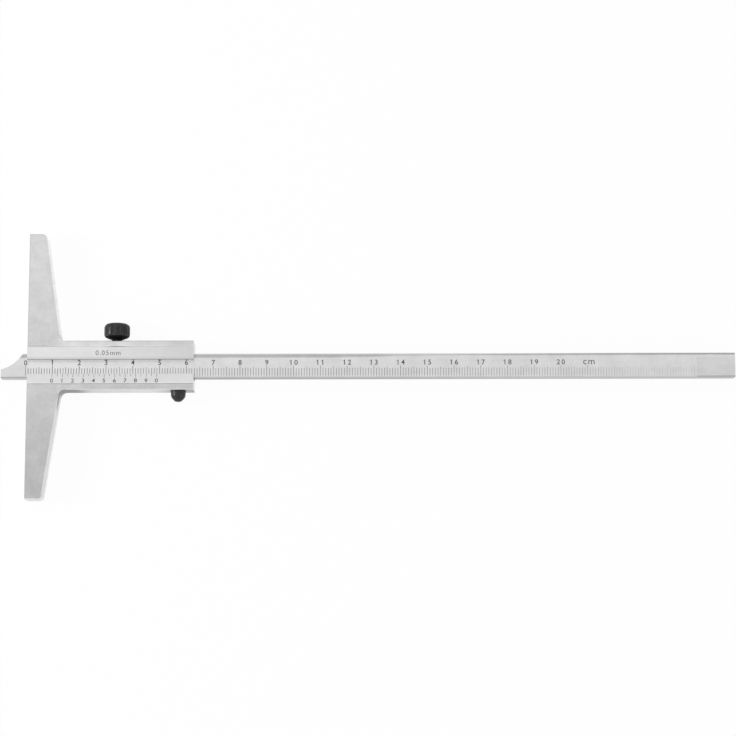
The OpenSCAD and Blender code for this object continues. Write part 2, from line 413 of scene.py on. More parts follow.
@dataclass(frozen=True)
class BridgeSteel(SatinSteel):
    """The bridge's steel. Lengths are in millimetres, losses and gains are shares of its light."""

    corner: Span = (13.0, -11.0)
    corner_edge: Span = (11.5, 5.175)
    corner_squash: float = 1.7
    corner_break: float = 3.0
    corner_loss: float = 0.60
    fade_z: Span = (6.8, 3.0)
    fade_y: Span = (-9.6, -12.2)
    fade_share: float = 0.95
    end_x: Span = (46.0, 58.0)
    end_loss: float = 0.42
    mouth_x: float = 61.0
    mouth_y: Span = (-5.05, -4.3)
    mouth_loss: float = 0.75
    band_y: Span = (7.0, 7.4)
    band_top: float = 10.2
    band_x: Span = (9.0, 15.0)
    band_gain: float = 0.19
    band_end_x: Span = (40.0, 60.0)
    band_end_loss: float = 0.09
    seam_y: float = 7.35
    upper_seam_x: Span = (7.0, 12.0)
    upper_seam_reach: float = 0.42
    upper_seam_gain: float = 0.14
    upper_seam_loss: float = 0.06
    lower_seam_reach: float = 0.30
    lower_seam_gain: float = 0.10
    root_x: Span = (9.5, 12.0)
    root_end_x: Span = (22.0, 17.0)
    root_y: Span = (-10.5, -7.5)
    root_gain: float = 0.11
    arm_gain: float = 0.03
    upper_arm_y: Span = (0.0, 25.0)
    upper_arm_gain: float = 0.03
    lower_arm_y: Span = (-17.0, -28.0)
    lower_arm_loss: float = 0.09
    swirl: Span = (21.0, -27.0)
    swirl_bend: float = 3.0
    swirl_pace: float = 4.2
    swirl_crest: Span = (0.55, 1.0)
    swirl_cloud: Span = (0.40, 0.55)
    swirl_x: Span = (17.0, 12.0)
    swirl_y: Span = (-18.0, -13.0)
    swirl_top_y: Span = (-7.5, -8.5)
    swirl_gain: float = 0.05
    clean_x: float = 60.0
    clean_y: float = 12.0
    clean_z: Span = (5.0, 1.0)
    clean_gain: float = 0.26

    def kept(self, at: Spot) -> Tap:
        """How bright painted shade, painted light, a painted reflection and rubbing marks leave the bridge.

        Args:
            at: The place.

        Returns:
            The share of the steel's own light.
        """
        # Painted reflection on +X walls: at the housing's end, on the upper arm and low on the lower arm.
        low_wall = (at.x < self.clean_x) * (at.y < 0.0) * at.z.ramp(*self.clean_z)
        painted_reflection = (at.face_x > LEAN) * at.wall * ((at.x > self.clean_x) + (at.y > self.clean_y) + low_wall)
        return self._stains(at) * self._polish(at) * self._swirls(at) * (1 + painted_reflection * self.clean_gain)

    def _stains(self, at: Spot) -> Tap:
        """Paints shade on the walls round the inner corner, under the housing's rear end and at the beam's lower exit.

        On the arm's wall the corner's painted shade only reaches halfway down.

        Args:
            at: The place.

        Returns:
            The share of light that is kept.
        """
        deep = at.z.ramp(*self.fade_z) * at.y.ramp(*self.fade_y) * self.fade_share
        reach = at.distance(self.corner, self.corner_squash) + at.cloud.swing(self.corner_break)
        corner = reach.ramp(*self.corner_edge) * (1 - deep)
        under = (at.face_y < -SQUARE) * at.x.ramp(*self.end_x)
        mouth = (at.face_x > SQUARE) * (at.x > self.mouth_x) * at.y.within(*self.mouth_y)
        return 1 - at.wall * (corner * self.corner_loss + under * self.end_loss + mouth * self.mouth_loss)

    def _polish(self, at: Spot) -> Tap:
        """Paints light on the band over the upper strip, the seams of both strips, the lower arm's root and the upper
        arm.

        Args:
            at: The place.

        Returns:
            The share of light, which may be above 1.
        """
        band = at.y.ramp(*self.band_y) * (at.y < self.band_top) * at.x.ramp(*self.band_x)
        band_gain = self.band_gain - at.x.ramp(*self.band_end_x) * self.band_end_loss
        upper_seam = abs(at.y - self.seam_y).ramp(self.upper_seam_reach, 0.0)
        rise = self.upper_seam_gain + self.upper_seam_loss
        upper_seam_gain = at.x.ramp(*self.upper_seam_x) * rise - self.upper_seam_loss
        lower_seam = abs(at.y + self.seam_y).ramp(self.lower_seam_reach, 0.0)
        seams = upper_seam * upper_seam_gain + lower_seam * self.lower_seam_gain
        root = at.x.ramp(*self.root_x) * at.x.ramp(*self.root_end_x) * at.y.within(*self.root_y)
        upper_arm = self.arm_gain + at.y.ramp(*self.upper_arm_y) * self.upper_arm_gain
        arms = upper_arm - at.y.ramp(*self.lower_arm_y) * self.lower_arm_loss
        return 1 + at.flat * (band * band_gain + arms + root * self.root_gain + seams)

    def _swirls(self, at: Spot) -> Tap:
        """Brightens a few curved rubbing marks on the lower arm, beside the inner corner.

        Args:
            at: The place.

        Returns:
            The share of light, which may be above 1.
        """
        reach = at.distance(self.swirl) + at.cloud * self.swirl_bend
        wave = (reach * self.swirl_pace).sine().ramp(*self.swirl_crest)
        near = at.y.ramp(*self.swirl_y) * at.y.ramp(*self.swirl_top_y) * at.x.ramp(*self.swirl_x)
        return 1 + at.flat * wave * near * at.cloud.ramp(*self.swirl_cloud) * self.swirl_gain


@dataclass(frozen=True)
class StripSteel(SatinSteel):
    """The two strips' steel. Lengths are in millimetres, losses and gains are shares of its light."""

    line_z: float = 8.2
    line_y: Span = (0.0, 2.22)
    line_loss: float = 0.61
    rear_x: Span = (28.0, 60.0)
    upper_rear_loss: float = 0.08
    lower_rear_gain: float = 0.09
    wall_gain: float = 0.11
    outer_edge_y: float = -6.85
    outer_edge_gain: float = 0.30
    mouth_x: float = 61.5
    mouth_y: Span = (-5.4, -2.6)
    mouth_loss: float = 0.75

    def kept(self, at: Spot) -> Tap:
        """How bright the strips are: painted shade along the upper one's front edge and on the lower one's end by the
        beam.

        Args:
            at: The place.

        Returns:
            The share of the steel's own light.
        """
        # Painted shade along the upper strip's front edge.
        line = (at.z > self.line_z) * at.y.within(*self.line_y)
        # A painted gradient towards the rear ends: lighter on the lower strip, darker on the upper one.
        rear_gain = (at.y < 0.0) * self.lower_rear_gain - (at.y > 0.0) * self.upper_rear_loss
        # Painted reflection on the walls, and a painted highlight along the lower strip's outer edge.
        edges = at.wall * self.wall_gain + at.flat * (at.y < self.outer_edge_y) * self.outer_edge_gain
        # Painted shade on the lower strip's end, beside the beam.
        mouth = (at.face_x > LEAN) * (at.x > self.mouth_x) * at.y.within(*self.mouth_y)
        painted_sheen = 1 + at.x.ramp(*self.rear_x) * rear_gain + edges
        return (1 - line * self.line_loss) * painted_sheen * (1 - mouth * self.mouth_loss)


@dataclass(frozen=True)
class BeamSteel(SatinSteel):
    """The beam's steel, darker along its upper edge, with a field ground a little deeper behind the scale.

    Lengths are in millimetres, losses and gains are shares of its light.
    """

    edge_y: float = 4.15
    wide_band: float = 0.92
    narrow_band: float = 0.38
    narrow_x: Span = (105.0, 162.0)
    border_break: float = 0.4
    border_edge: Span = (-0.15, 0.25)
    soft_border: float = 0.45
    band_loss: float = 0.35
    worn_x: float = 148.0
    worn_reach: float = 24.0
    worn_share: float = 0.5
    bright_x: Span = (250.0, 160.0)
    bright_gain: float = 1.0
    wall_x: Span = (0.0, 40.0)
    wall_end_x: Span = (110.0, 200.0)
    wall_end_share: float = 0.6
    wall_loss: float = 0.30
    nose_x: Span = (1.5, -0.5)
    nose_loss: float = 0.10
    nose_edge_loss: float = 0.15
    field_x: float = 250.3
    field_y: Span = (-3.95, 3.0)
    field_loss: float = 0.06
    field_line: float = 0.16
    field_line_loss: float = 0.12
    field_edge_loss: float = 0.30

    def kept(self, at: Spot) -> Tap:
        """How bright a darker upper band, painted light on chamfers and painted shade on walls and nose leave the beam.

        Args:
            at: The place.

        Returns:
            The share of the steel's own light.
        """
        narrow = at.x.ramp(*self.narrow_x)
        width = self.wide_band - narrow * (self.wide_band - self.narrow_band)
        border = self.edge_y - at.y - width + at.cloud.swing(self.border_break)
        low, high = self.border_edge
        band = 1 - border.ramp(low, high + (1 - narrow) * self.soft_border)
        # Round x = 148 mm the darker band along the upper edge is only half as dark.
        worn = 1 - abs(at.x - self.worn_x).ramp(self.worn_reach, 0.0) * self.worn_share
        # Painted highlight: chamfers that look to the knob's side or to the nose are lighter, fading out at the far
        # end.
        edge = at.chamfer * at.away * at.x.ramp(*self.bright_x) * self.bright_gain
        # Painted shade on the walls beyond the nose, less towards the far end.
        wall_share = 1 - at.x.ramp(*self.wall_end_x) * self.wall_end_share
        wall = at.wall * at.x.ramp(*self.wall_x) * wall_share * self.wall_loss
        # Painted shade on the nose and its chamfers.
        nose = at.x.ramp(*self.nose_x) * (self.nose_loss + at.chamfer * self.nose_edge_loss)
        kept = (1 - band * worn * at.flat * self.band_loss) * (1 + edge) * (1 - wall) * (1 - nose)
        return kept * self._end_field(at)

    def _end_field(self, at: Spot) -> Tap:
        """Darkens the field behind the scale, and more so along its border.

        Args:
            at: The place.

        Returns:
            The share of light that is kept.
        """
        behind = at.x > self.field_x
        inside = at.flat * behind * at.y.within(*self.field_y)
        front_line = (at.x < self.field_x + self.field_line) * self.field_line_loss
        below = at.chamfer * (1 - at.away) * behind
        return 1 - inside * (self.field_loss + front_line) - below * self.field_edge_loss


@dataclass(frozen=True)
class TurnedMetal:
    """Bare turned or rolled metal of small inner pieces. Lengths are in millimetres."""

    name: str
    colour: tuple[float, float, float]
    roughness: float
    lightness: float = 0.9
    ring_size: tuple[float, float, float] = (1.2, 0.05, 0.05)
    ring_share: float = 0.2
    ring_depth: float = 0.002
    stain_size: float = 1.1
    stain_share: float = 0.3
    stain_roughness: float = 0.2

    def material(self) -> bpy.types.Material:
        """Makes the finish: fine tool marks, with darker stains.

        Returns:
            The material.
        """
        r = Recipe.for_material(self.name)
        rings = r.noise(self.ring_size)
        stain = r.noise(self.stain_size, detail=4.0, shift=5.0)
        tone = self.lightness + rings.swing(self.ring_share) + stain.swing(self.stain_share)
        return r.finish(
            Base_Color=r.grey(tone, self.colour),
            Metallic=1.0,
            Roughness=self.roughness + stain.swing(self.stain_roughness),
            Normal=r.bump(rings, self.ring_depth),
        )


@dataclass(frozen=True)
class MouldedPlastic:
    """Black moulded plastic, rubbed smoother and greyer where fingers touch it. Lengths are in millimetres."""

    name: str
    tone: float = 0.010
    rubbed_tone: float = 0.024
    roughness: float = 0.30
    gloss: float = 0.36
    skin_size: float = 0.22
    skin_depth: float = 0.006
    skin_roughness: float = 0.1
    rub_size: float = 2.4
    rub: Span = (0.45, 0.7)
    rub_smoothing: float = 0.06
    dust_size: float = 0.35
    dust: Span = (0.66, 0.8)
    dust_tone: float = 0.05
    dust_roughness: float = 0.3

    def material(self) -> bpy.types.Material:
        """Makes the finish: a fine moulded skin, rubbed patches and a little dust.

        Returns:
            The material.
        """
        r = Recipe.for_material(self.name)
        skin = r.noise(self.skin_size, detail=3.0)
        rub = r.noise(self.rub_size, detail=3.0, shift=4.0).ramp(*self.rub)
        dust = r.noise(self.dust_size, detail=4.0, shift=9.0).ramp(*self.dust)
        uneven = dust * self.dust_roughness - rub * self.rub_smoothing + skin.swing(self.skin_roughness)
        return r.finish(
            Base_Color=r.grey(self.tone + rub * (self.rubbed_tone - self.tone) + dust * self.dust_tone),
            Roughness=self.roughness + uneven,
            Specular_IOR_Level=self.gloss,
            Normal=r.bump(skin, self.skin_depth),
        )


@dataclass(frozen=True)
class ScaleInk:
    """The dark filling of the cut marks, worn in places and thinner towards the beam's far end, in millimetres."""

    name: str
    tone: float
    worn_tone: float
    thin_tone: float = 0.0
    faded_tone: float = 0.0
    thin_x: Span = (155.0, 185.0)
    faded_x: Span = (200.0, 234.0)
    worn_size: float = 1.5
    worn: Span = (0.42, 0.75)
    grit_size: float = 0.06
    grit_tone: float = 0.02
    grit_depth: float = 0.003
    grit_roughness: float = 0.2
    roughness: float = 0.45

    def material(self) -> bpy.types.Material:
        """Makes the finish: dark wax with paler, worn stretches.

        Returns:
            The material.
        """
        r = Recipe.for_material(self.name)
        worn = r.noise(self.worn_size, detail=4.0).ramp(*self.worn)
        grit = r.noise(self.grit_size, shift=2.0)
        x = r.place_mm()[0]
        pale = x.ramp(*self.faded_x) * self.faded_tone + x.ramp(*self.thin_x) * self.thin_tone
        return r.finish(
            Base_Color=r.grey(self.tone + worn * (self.worn_tone - self.tone) + pale + grit * self.grit_tone),
            Roughness=self.roughness + grit * self.grit_roughness,
            Normal=r.bump(grit, self.grit_depth),
        )


# The wall and chamfer tones below differ from the flats' tones as painted reflection and painted shade.
BRIDGE_STEEL = BridgeSteel(
    "bridge_steel", Lay.ALONG_BRIDGE, flat_tone=0.49, wall_tone=0.74, chamfer_tone=0.70, chamfer_away_tone=0.44,
    mottle_share=0.30,
)
STRIP_STEEL = StripSteel(
    "strip_steel", Lay.ALONG_BEAM, flat_tone=0.64, wall_tone=0.90, chamfer_tone=0.74, chamfer_away_tone=0.72,
    roughness=0.34, streak_share=0.04, mottle_share=0.14,
)
BEAM_STEEL = BeamSteel(
    "beam_steel", Lay.ALONG_BEAM, flat_tone=0.65, wall_tone=0.58, chamfer_tone=0.58, chamfer_away_tone=0.36,
    mottle_share=0.22,
)
SCREW_STEEL = TurnedMetal("screw_steel", colour=(0.45, 0.45, 0.46), roughness=0.35)
GIB_BRONZE = TurnedMetal("gib_bronze", colour=(0.62, 0.44, 0.20), roughness=0.4)
BLACK_PLASTIC = MouldedPlastic("black_plastic")
# A darker, duller plastic for the knob's underside: painted shade.
SHADED_UNDERSIDE_PLASTIC = MouldedPlastic("shaded_underside_plastic", tone=0.004, rubbed_tone=0.008, roughness=0.6, gloss=0.1)
GLOSSY_PLASTIC = MouldedPlastic("glossy_black_plastic", tone=0.0025, rubbed_tone=0.006, roughness=0.38, gloss=0.50)
TICK_INK = ScaleInk("tick_ink", tone=0.035, worn_tone=0.13, thin_tone=0.14, faded_tone=0.26)
NUMBER_INK = ScaleInk("number_ink", tone=0.025, worn_tone=0.07, thin_tone=0.03)
MARK_INK = ScaleInk("mark_ink", tone=0.08, worn_tone=0.20)


# --- Modelling by hand -----------------------------------------------------------------------------------------------


class Pick(Enum):
    """What a selection holds. The value is Blender's own name for it."""

    VERT = "VERT"
    EDGE = "EDGE"
    FACE = "FACE"


def everything(at: Vector, way: Vector) -> bool:
    """Takes every point, edge or face."""
    return True


def upright(at: Vector, way: Vector) -> bool:
    """Takes what runs along Z."""
    return abs(way.z) > UPRIGHT


class Workpiece:
    """A mesh under the tools. It is shaped in millimetres, and settled in the gauge's frame in metres."""

    def __init__(self, name: str, start: Callable[..., object], **settings: object) -> None:
        """Adds the primitive that the piece starts from.

        Args:
            name: The piece's name.
            start: The operator that adds it.
            settings: The operator's settings, in millimetres.
        """
        bpy.ops.object.select_all(action="DESELECT")
        start(**settings)
        self.obj = bpy.context.object
        self.obj.name = name
        self.obj.data.name = name
        bpy.ops.object.transform_apply(location=True, rotation=True, scale=True)

    @contextmanager
    def editing(self, kind: Pick, rule: Rule) -> Iterator[None]:
        """Opens edit mode on a selection.

        Args:
            kind: Points, edges or faces.
            rule: Says of a place and a direction whether it is taken. The direction is a face's or point's normal, or
                the way that an edge runs.

        Yields:
            Nothing, while edit mode is open.
        """
        mesh = self.obj.data
        for group in (mesh.vertices, mesh.edges, mesh.polygons):
            group.foreach_set("select", [False] * len(group))
        if kind is Pick.FACE:
            for face in mesh.polygons:
                face.select = rule(face.center, face.normal)
        elif kind is Pick.EDGE:
            for edge in mesh.edges:
                a, b = (mesh.vertices[i].co for i in edge.vertices)
                edge.select = rule((a + b) / 2, (b - a).normalized())
        else:
            for vert in mesh.vertices:
                vert.select = rule(vert.co, vert.normal)
        bpy.context.tool_settings.mesh_select_mode = tuple(kind is each for each in Pick)
        bpy.ops.object.mode_set(mode="EDIT")
        yield
        bpy.ops.object.mode_set(mode="OBJECT")

    def modify(self, kind: str, **settings: object) -> None:
        """Adds a modifier and applies it.

        Args:
            kind: Blender's name of its type.
            settings: Its settings.
        """
        modifier = self.obj.modifiers.new(kind.lower(), kind)
        for name, value in settings.items():
            setattr(modifier, name, value)
        bpy.ops.object.modifier_apply(modifier=modifier.name)

    def join(self, others: Sequence["Workpiece"]) -> None:
        """Takes other pieces into this one.

        Args:
            others: The pieces, which end as separate pieces.
        """
        bpy.ops.object.select_all(action="DESELECT")
        for other in others:
            other.obj.select_set(True)
        self.obj.select_set(True)
        bpy.context.view_layer.objects.active = self.obj
        bpy.ops.object.join()

    def settle(self, place: Matrix, smooth_deg: float = 32.0) -> bpy.types.Object:
        """Cleans the mesh, turns it to metres and puts it in its place.

        Args:
            place: Where the piece's own frame lies in the gauge's frame.
            smooth_deg: Edges sharper than this stay sharp.

        Returns:
            The finished object.
        """
        with self.editing(Pick.FACE, everything):
            bpy.ops.mesh.remove_doubles(threshold=WELD)
            bpy.ops.mesh.normals_make_consistent(inside=False)
        self.obj.data.transform(place @ Matrix.Scale(MM, 4))
        bpy.ops.object.shade_smooth_by_angle(angle=math.radians(smooth_deg))
        return self.obj


class TurnedPiece(Workpiece):
    """A piece that grows from a disc: its top face is pulled up and in or out, step by step."""

    def __init__(self, name: str, around: int, profile: Sequence[Span]) -> None:
        """Pulls the disc through its profile.

        Args:
            name: The piece's name.
            around: The number of its sides.
            profile: The height and radius of each step.
        """
        last_z, last_r = profile[0]
        super().__init__(name, bpy.ops.mesh.primitive_circle_add, vertices=around, radius=last_r,
                         location=(0, 0, last_z), fill_type="NGON")
        self.base_z, self.base_r = last_z, last_r
        with self.editing(Pick.FACE, everything):
            for z, r in profile[1:]:
                bpy.ops.mesh.extrude_region_move(TRANSFORM_OT_translate={"value": (0, 0, z - last_z)})
                bpy.ops.transform.resize(value=(r / last_r, r / last_r, 1), center_override=(0, 0, 0))
                last_z, last_r = z, r

    def bore(self, radius: float, depth: float) -> None:
        """Sinks a blind hole in the base.

        Args:
            radius: The hole's radius.
            depth: How deep it is.
        """
        with self.editing(Pick.FACE, lambda at, normal: abs(at.z - self.base_z) < CLOSE):
            bpy.ops.mesh.inset(thickness=self.base_r - radius, depth=0)
            bpy.ops.mesh.extrude_region_move(TRANSFORM_OT_translate={"value": (0, 0, depth)})


def joined(name: str, pieces: Sequence[Workpiece]) -> Workpiece:
    """Makes one piece of several.

    Args:
        name: The piece's name.
        pieces: What it is made of.

    Returns:
        The piece.
    """
    whole = pieces[0]
    whole.join(pieces[1:])
    whole.obj.name = name
    return whole


def quarter_round(z: float, r: float, size: float, steps: int, top: bool) -> list[Span]:
    """The steps of a rounded rim.

    Args:
        z: The height of the sharp corner.
        r: Its radius.
        size: The rounding's radius.
        steps: How many steps it has.
        top: Whether it closes the upper end, and not the lower one.

    Returns:
        Heights and radii, upwards.
    """
    turns = [i / steps * math.pi / 2 for i in range(steps + 1)]
    if top:
        return [(z - size * (1 - math.sin(turn)), r - size * (1 - math.cos(turn))) for turn in turns]
    return [(z + size * (1 - math.cos(turn)), r - size * (1 - math.sin(turn))) for turn in turns]


def dress(obj: bpy.types.Object, material: bpy.types.Material) -> None:
    """Gives an object one material all over.

    Args:
        obj: The object.
        material: Its material.
    """
    obj.data.materials.clear()
    obj.data.materials.append(material)


def fit(piece: bpy.types.Object, material: bpy.types.Material, body: str, stands_for: str = "") -> None:
    """Dresses a new piece and fixes it on its body.

    Args:
        piece: The new piece, in place.
        material: Its finish.
        body: The body that it moves with.
        stands_for: The node that it replaces, if it does.
    """
    dress(piece, material)
    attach(piece, body)
    if stands_for:
        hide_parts(stands_for)
    log.info("%s rides on %s, %d faces", piece.name, body, len(piece.data.polygons))


def at_mm(x: float, y: float, z: float) -> Matrix:
    """A shift, given in millimetres."""
    return Matrix.Translation(Vector((x, y, z)) * MM)


def node_low_high(node: str) -> tuple[Vector, Vector]:
    """A node's lowest and highest corners, in millimetres."""
    low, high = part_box(node)
    return low / MM, high / MM


# --- Scales and numbers ----------------------------------------------------------------------------------------------


@dataclass(frozen=True)
class TickRow:
    """Ticks of one length: the first one's place, and how often and how far apart it is repeated."""

    first: float
    top: float
    bottom: float
    width: float
    repeats: tuple[tuple[int, float], ...] = ()


@dataclass(frozen=True)
class Lettering:
    """How writing is cut: where it stands, how high and bold it is, and how wide it or each digit is set."""

    bottom: float
    height: float
    weight: float = 0.0
    spacing: float = 1.0
    pitch: float = 0.0


@dataclass(frozen=True)
class CutMarks:
    """Lines and writing cut in a flat surface, which is at Z = 0 while they are made. Lengths are in millimetres.

    The share is a digit's height against the type's size, the rounding is against a tick's width, and the flag of a
    one is measured against the digit's height.
    """

    proud: float = 0.015
    sunk: float = 0.035
    digit_share: float = 0.691
    curve_steps: int = 3
    end_rounding: float = 0.45
    flag_reach: float = 0.30
    flag_thickness: float = 0.10
    flag_drop: float = 0.20

    @property
    def depth(self) -> float:
        """How high a mark's walls are."""
        return self.proud + self.sunk

    @property
    def middle(self) -> float:
        """Halfway up a mark's walls."""
        return (self.proud - self.sunk) / 2

    def ticks(self, name: str, rows: Sequence[TickRow]) -> Workpiece:
        """Cuts all the ticks of a scale.

        Args:
            name: The piece's name.
            rows: The rows of ticks.

        Returns:
            The ticks as one piece.
        """
        return joined(name, [self._tick_row(name, row) for row in rows])

    def _bar(self, name: str, x: float, y: float, width: float, height: float) -> Workpiece:
        """Cuts a straight bar.

        Args:
            name: The bar's name.
            x: Its middle along X.
            y: Its middle along Y.
            width: Its size along X.
            height: Its size along Y.

        Returns:
            The bar.
        """
        return Workpiece(name, bpy.ops.mesh.primitive_cube_add, size=1.0, location=(x, y, self.middle),
                         scale=(width, height, self.depth))

    def _tick_row(self, name: str, row: TickRow) -> Workpiece:
        """Cuts one tick with rounded ends, and repeats it.

        Args:
            name: The piece's name.
            row: The ticks' sizes and places.

        Returns:
            The row.
        """
        tick = self._bar(name, row.first, (row.top + row.bottom) / 2, row.width, row.top - row.bottom)
        with tick.editing(Pick.EDGE, upright):
            bpy.ops.mesh.bevel(offset=row.width * self.end_rounding, segments=2)
        for count, step in row.repeats:
            tick.modify("ARRAY", count=count, use_relative_offset=False, use_constant_offset=True,
                        constant_offset_displace=(step, 0.0, 0.0))
        return tick

    def writing(self, text: str, x: float, style: Lettering) -> Workpiece:
        """Cuts one word, unit or digit, centred on a place.

        Args:
            text: What it says.
            x: Its middle.
            style: How it is cut.

        Returns:
            The writing as a mesh.
        """
        def add_text() -> None:
            """Adds the text and makes it a mesh."""
            bpy.ops.object.text_add(location=(x, style.bottom, self.middle))
            words = bpy.context.object.data
            words.body = text
            words.align_x = "CENTER"
            words.size = style.height / self.digit_share
            words.space_character = style.spacing
            words.offset = style.weight
            words.extrude = self.depth / 2
            words.resolution_u = self.curve_steps
            bpy.ops.object.convert(target="MESH")

        return Workpiece("writing", add_text)

    def numbers(self, texts: Sequence[str], zero_x: float, step: float, style: Lettering) -> list[Workpiece]:
        """Cuts evenly spaced numbers digit by digit, as a set of punches does.

        Args:
            texts: The numbers.
            zero_x: The first one's middle.
            step: The distance from one to the next.
            style: How they are cut.

        Returns:
            The digits and the slanted strokes of the ones.
        """
        made = []
        for place, text in enumerate(texts):
            for i, digit in enumerate(text):
                x = zero_x + step * place + (i - (len(text) - 1) / 2) * style.pitch
                made.append(self.writing(digit, x, style))
                if digit == "1":
                    made.append(self._flag(x, style))
        return made

    def _flag(self, x: float, style: Lettering) -> Workpiece:
        """Cuts the slanted stroke at the head of a one.

        Args:
            x: The middle of the upright stroke.
            style: How the one is cut.

        Returns:
            The stroke.
        """
        reach, thick = style.height * self.flag_reach, style.height * self.flag_thickness
        flag = self._bar("flag", x - reach / 2, style.bottom + style.height - thick / 2, reach, thick)
        with flag.editing(Pick.VERT, lambda at, normal: at.x < x - reach + CLOSE):
            bpy.ops.transform.translate(value=(0, -style.height * self.flag_drop, 0))
        return flag


@dataclass(frozen=True)
class BeamScale:
    """The centimetre scale on the front of the beam, in millimetres.

    Each stretch says where it starts, how long it is and how wide its ticks are.
    """

    zero_x: float = -0.75
    zero_bottom: float = -3.70
    zero_width: float = 0.155
    mm_top: float = -0.97
    five_top: float = -0.55
    ten_top: float = -0.15
    ten_extra: float = 0.025
    tick_bottom: float = -3.92
    last_bottom: float = -4.10
    stretches: tuple[tuple[int, int, float], ...] = (
        (0, 30, 0.205), (30, 20, 0.165), (50, 50, 0.155), (100, 150, 0.143),
    )
    last_number: int = 20
    digit: Lettering = Lettering(bottom=0.22, height=1.85, weight=0.03, pitch=1.85)
    unit: Lettering = Lettering(bottom=0.22, height=2.44, spacing=1.2)
    unit_x: float = 209.8

    def build(self) -> None:
        """Cuts the ticks and the numbers."""
        cut = CutMarks()
        place = at_mm(0, 0, node_low_high("beam")[1].z)
        ticks = cut.ticks("beam_scale_ticks", self._rows())
        fit(ticks.settle(place), TICK_INK.material(), "beam")
        writing = [
            *cut.numbers([str(k) for k in range(self.last_number + 1)], self.zero_x, 10.0, self.digit),
            cut.writing("cm", self.unit_x, self.unit),
        ]
        fit(joined("beam_numbers", writing).settle(place), NUMBER_INK.material(), "beam")

    def _rows(self) -> list[TickRow]:
        """Lists the ticks: one of its own for zero, the rows of each stretch, and a last one that ends lower.

        Returns:
            The rows.
        """
        rows = [TickRow(self.zero_x, self.ten_top, self.zero_bottom, self.zero_width)]
        for start, length, width in self.stretches:
            x, tens = self.zero_x + start, length // 10
            skipped = 0 if start else 1
            rows += [
                TickRow(x + 1, self.mm_top, self.tick_bottom, width, ((4, 1.0), (length // 5, 5.0))),
                TickRow(x + 5, self.five_top, self.tick_bottom, width, ((tens, 10.0),)),
                TickRow(x + 10 * skipped, self.ten_top, self.tick_bottom, width + self.ten_extra,
                        ((tens - skipped, 10.0),)),
            ]
        start, length, width = self.stretches[-1]
        last_x = self.zero_x + start + length
        return [*rows, TickRow(last_x, self.ten_top, self.last_bottom, width + self.ten_extra)]


@dataclass(frozen=True)
class VernierScale:
    """The vernier on the bevelled strip, in millimetres. Distances across it are measured down the bevel."""

    zero_x: float = 9.25
    step: float = 1.95
    divisions: int = 20
    edge_z: float = 7.45
    tick_top: float = -0.05
    long_bottom: float = -1.55
    short_bottom: float = -1.05
    tick_width: float = 0.135
    digit: Lettering = Lettering(bottom=-3.82, height=1.70, weight=0.02)

    def build(self) -> None:
        """Cuts the ticks and the numbers on the bevel."""
        cut = CutMarks()
        low, high = node_low_high("vernier_strip")
        slope = math.atan2(high.z - self.edge_z, high.y - low.y)
        place = at_mm(0, high.y, self.edge_z) @ Matrix.Rotation(-slope, 4, "X")
        pairs, pair = self.divisions // 2, 2 * self.step
        ticks = cut.ticks("vernier_ticks", [
            TickRow(self.zero_x, self.tick_top, self.long_bottom, self.tick_width, ((pairs + 1, pair),)),
            TickRow(self.zero_x + self.step, self.tick_top, self.short_bottom, self.tick_width, ((pairs, pair),)),
        ])
        fit(ticks.settle(place), TICK_INK.material(), "bridge")
        numbers = cut.numbers([str(k % pairs) for k in range(pairs + 1)], self.zero_x, pair, self.digit)
        fit(joined("vernier_numbers", numbers).settle(place), NUMBER_INK.material(), "bridge")


@dataclass(frozen=True)
class GuideStripMark:
    """The value of one vernier division, cut in the upper strip, in millimetres."""

    text: str = "0.05mm"
    x: float = 30.2
    style: Lettering = Lettering(bottom=3.65, height=1.75, spacing=1.2)

    def build(self) -> None:
        """Cuts the mark."""
        top = node_low_high("upper_guide_strip")[1].z
        mark = CutMarks().writing(self.text, self.x, self.style)
        mark.obj.name = "graduation_value"
        fit(mark.settle(at_mm(0, 0, top)), MARK_INK.material(), "bridge")


# --- Knob, stem and button -------------------------------------------------------------------------------------------


@dataclass(frozen=True)
class Seat:
    """The room along Y that a finer piece takes over from the frame's own, in millimetres."""

    radius: float
    length: float
    place: Matrix

    @classmethod
    def of(cls, node: str, down: bool = False) -> "Seat":
        """Reads it from the node, for a piece that is turned upright and then laid along Y.

        Args:
            node: The node's name.
            down: Whether the piece points to -Y, and not to +Y.

        Returns:
            The seat.
        """
        low, high = node_low_high(node)
        base = at_mm((low.x + high.x) / 2, high.y if down else low.y, (low.z + high.z) / 2)
        turn = Matrix.Rotation(math.pi / 2 if down else -math.pi / 2, 4, "X")
        return cls((high.x - low.x) / 2, high.y - low.y, base @ turn)


